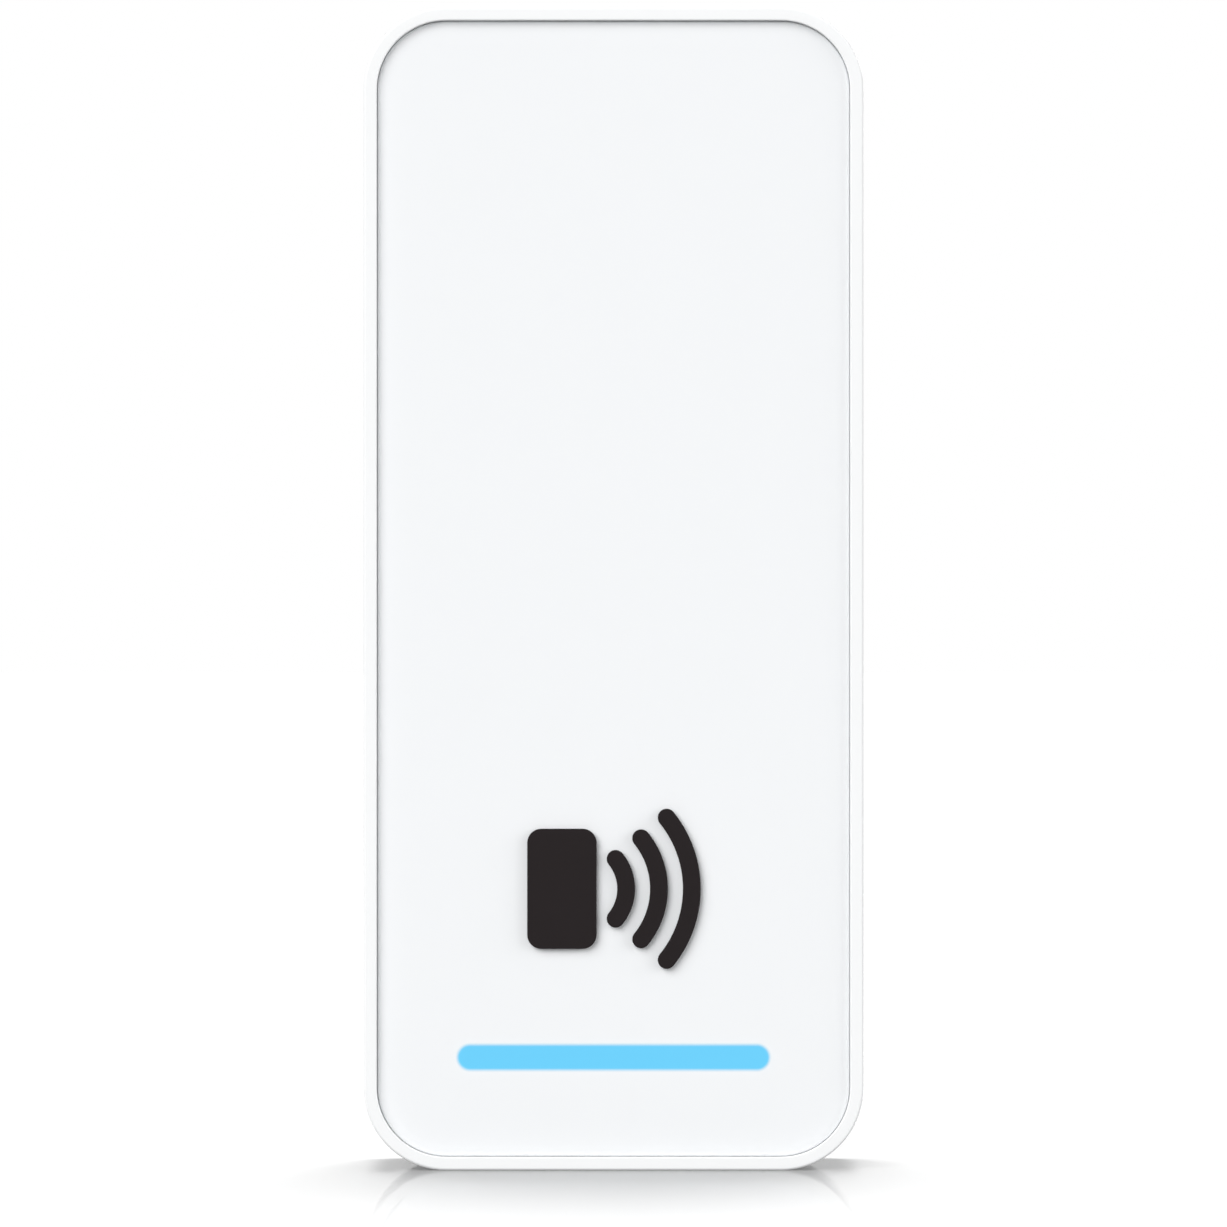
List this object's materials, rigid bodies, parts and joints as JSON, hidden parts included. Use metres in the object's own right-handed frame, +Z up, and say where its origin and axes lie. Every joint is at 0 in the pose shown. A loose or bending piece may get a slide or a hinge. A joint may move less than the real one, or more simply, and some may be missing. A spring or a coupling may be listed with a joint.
{
  "type": "rfid card reader",
  "caption": "Slim wall-mounted door reader for access cards and phones, with a recessed front panel, tap mark, light bar, network jack in a rear cable bay and a lockable hook-on wall plate.",
  "frame": {"origin": "middle of the underside, halfway between the front rim and the back of the wall plate", "axes": "+X right as seen from the front, +Y backwards into the wall, +Z up"},
  "size_m": [0.0534, 0.0176, 0.124],
  "materials": {
    "housing_white": "fine satin moulded",
    "panel_white": "smooth satin",
    "mark_black": "satin",
    "diffuser": "translucent, lit from behind",
    "reflector_white": "matte",
    "led": "clear resin",
    "board_green": "solder-masked laminate",
    "copper": "bare copper",
    "ferrite": "matte",
    "chip_black": "moulded epoxy",
    "tin": "tinned",
    "dark_plastic": "moulded",
    "brass": "bare",
    "steel": "zinc plated",
    "seal_rubber": "matte",
    "adhesive": "acrylic foam tape",
    "plate_grey": "fine spark-eroded texture"
  },
  "bodies": {
    "reader": {"housing": "housing_white", "rear_cover": "housing_white", "front_panel": "panel_white", "tap_mark_card": "mark_black", "tap_mark_wave_1": "mark_black", "tap_mark_wave_2": "mark_black", "tap_mark_wave_3": "mark_black", "light_diffuser": "diffuser", "light_guide": "diffuser", "light_box": "reflector_white", "bluetooth_antenna": "reflector_white", "led_1": "led", "led_2": "led", "led_3": "led", "led_4": "led", "led_5": "led", "led_6": "led", "led_board": "board_green", "antenna_board": "board_green", "main_board": "board_green", "led_flex": "copper", "antenna_coil": "copper", "ferrite_sheet": "ferrite", "power_inductor": "ferrite", "main_processor": "chip_black", "reader_chip": "chip_black", "poe_transformer": "chip_black", "speaker": "chip_black", "tamper_switch": "chip_black", "radio_shield": "tin", "bulk_capacitor": "tin", "reset_switch": "tin", "rj45_jack": "dark_plastic", "antenna_connector": "dark_plastic", "jack_contacts": "brass", "lock_insert": "brass", "board_screw_1": "steel", "board_screw_2": "steel", "board_screw_3": "steel", "board_screw_4": "steel", "cover_screw_1": "steel", "cover_screw_2": "steel", "cover_screw_3": "steel", "cover_screw_4": "steel", "rear_gasket": "seal_rubber", "pressure_vent": "seal_rubber", "speaker_membrane": "seal_rubber", "panel_adhesive": "adhesive"},
    "wall_plate": {"wall_plate": "plate_grey"},
    "lock_seal": {"lock_screw_seal": "seal_rubber"},
    "lock_screw": {"lock_screw": "steel"},
    "tamper_plunger": {"tamper_plunger": "dark_plastic"},
    "reset_button": {"reset_button": "dark_plastic"}
  },
  "joints": [
    {"name": "lock_screw_travel", "type": "slide", "parent": "reader", "child": "lock_seal", "axis": [0, 0, -1], "range_m": [0, 0.0025]},
    {"name": "lock_screw_turn", "type": "hinge", "parent": "lock_seal", "child": "lock_screw", "pos_m": [0, 0.0034, 0], "axis": [0, 0, -1], "range_deg": [0, 1800]},
    {"name": "wall_plate_slide", "type": "slide", "parent": "reader", "child": "wall_plate", "axis": [0, 0, -1], "range_m": [0, 0.0025]},
    {"name": "tamper_follow", "type": "slide", "parent": "reader", "child": "tamper_plunger", "axis": [0, 1, 0], "range_m": [0, 0.0012]},
    {"name": "reset_press", "type": "slide", "parent": "reader", "child": "reset_button", "axis": [0, -1, 0], "range_m": [0, 0.0004], "stiffness_N_per_m": 600}
  ],
  "couplings": [
    {"joint": "lock_screw_travel", "follows": "wall_plate_slide", "ratio": 1},
    {"joint": "lock_screw_turn", "follows": "wall_plate_slide", "rad_per_m": 12566},
    {"joint": "tamper_follow", "follows": "wall_plate_slide", "ratio": 0.48}
  ]
}
